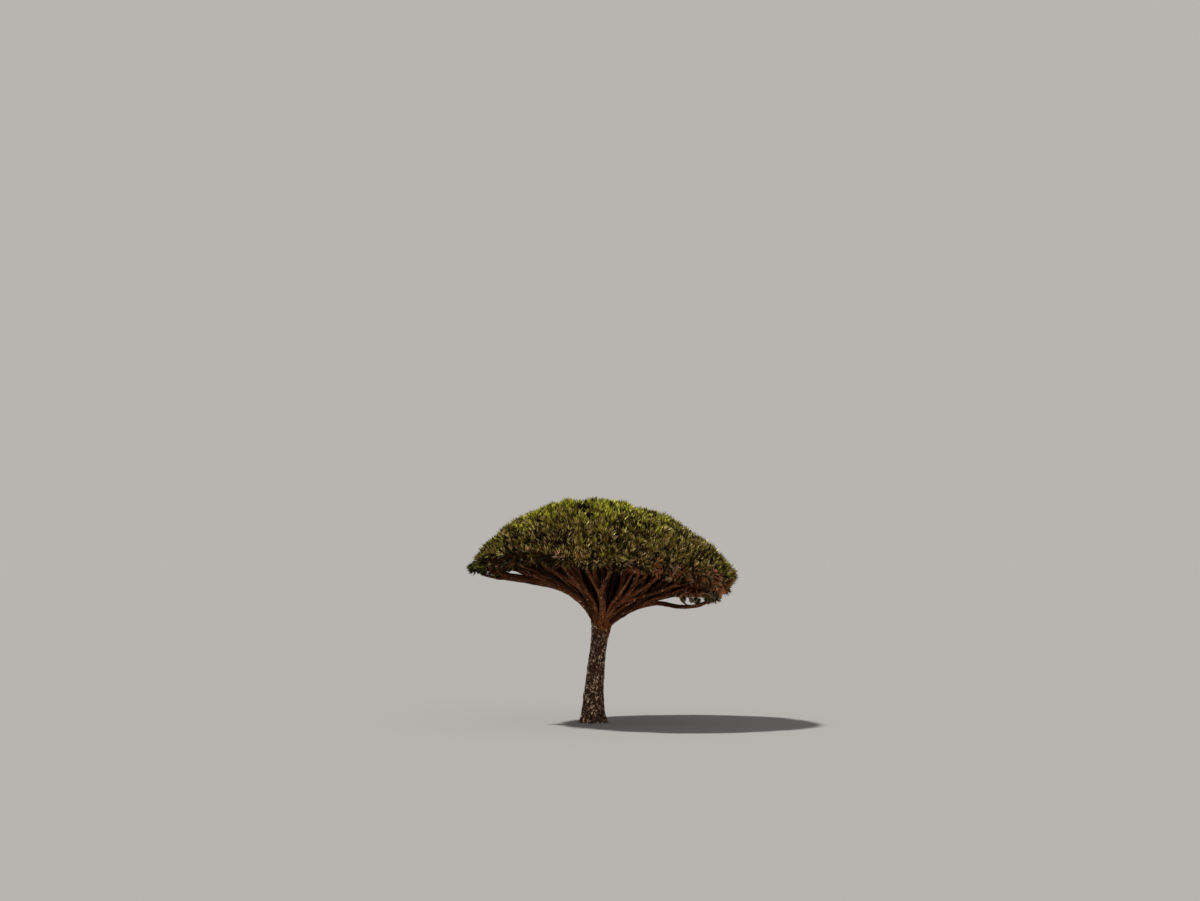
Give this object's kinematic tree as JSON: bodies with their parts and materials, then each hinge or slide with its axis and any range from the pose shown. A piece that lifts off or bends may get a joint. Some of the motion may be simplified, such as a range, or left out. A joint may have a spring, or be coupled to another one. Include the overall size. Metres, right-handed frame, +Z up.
{
  "type": "dragon blood tree",
  "caption": "Dragon blood tree: a stout, slightly leaning trunk that opens into a fan of forking boughs under a wide, low, umbrella-shaped dome of stiff sword-like leaves.",
  "frame": {"origin": "centre of the flat cut under the trunk, at ground level", "axes": "+Z up along the plumb line from the foot; +X to the right of the front view, the way the trunk leans; +Y away from the front view"},
  "size_m": [8.4569, 8.3, 7.12],
  "materials": {
    "trunk_bark": "rough mottled grey-brown bark",
    "bough_bark": "rough red-brown bark",
    "foliage": "stiff leathery sword-shaped leaves, yellow-green on top and olive brown in the shade"
  },
  "bodies": {
    "root": {"bough_01": "bough_bark", "bough_02": "bough_bark", "bough_03": "bough_bark", "bough_04": "bough_bark", "bough_05": "bough_bark", "bough_06": "bough_bark", "bough_07": "bough_bark", "bough_08": "bough_bark", "bough_09": "bough_bark", "bough_10": "bough_bark", "crown_middle_1": "foliage", "crown_middle_2": "foliage", "crown_middle_3": "foliage", "crown_middle_4": "foliage", "crown_middle_5": "foliage", "crown_rim_01": "foliage", "crown_rim_02": "foliage", "crown_rim_03": "foliage", "crown_rim_04": "foliage", "crown_rim_05": "foliage", "crown_rim_06": "foliage", "crown_rim_07": "foliage", "crown_rim_08": "foliage", "crown_rim_09": "foliage", "crown_rim_10": "foliage", "crown_top": "foliage", "inner_bough_1": "bough_bark", "inner_bough_2": "bough_bark", "limb_01a": "bough_bark", "limb_01b": "bough_bark", "limb_02a": "bough_bark", "limb_02b": "bough_bark", "limb_03a": "bough_bark", "limb_03b": "bough_bark", "limb_04a": "bough_bark", "limb_04b": "bough_bark", "limb_05a": "bough_bark", "limb_05b": "bough_bark", "limb_06a": "bough_bark", "limb_06b": "bough_bark", "limb_07a": "bough_bark", "limb_07b": "bough_bark", "limb_08a": "bough_bark", "limb_08b": "bough_bark", "limb_09a": "bough_bark", "limb_09b": "bough_bark", "limb_10a": "bough_bark", "limb_10b": "bough_bark", "low_bough_left": "bough_bark", "low_bough_right": "bough_bark", "riser_1": "bough_bark", "riser_2": "bough_bark", "riser_3": "bough_bark", "riser_4": "bough_bark", "riser_5": "bough_bark", "trunk": "trunk_bark", "tuft_left_tip": "foliage", "tuft_low_middle": "foliage", "tuft_low_right": "foliage"}
  },
  "joints": []
}
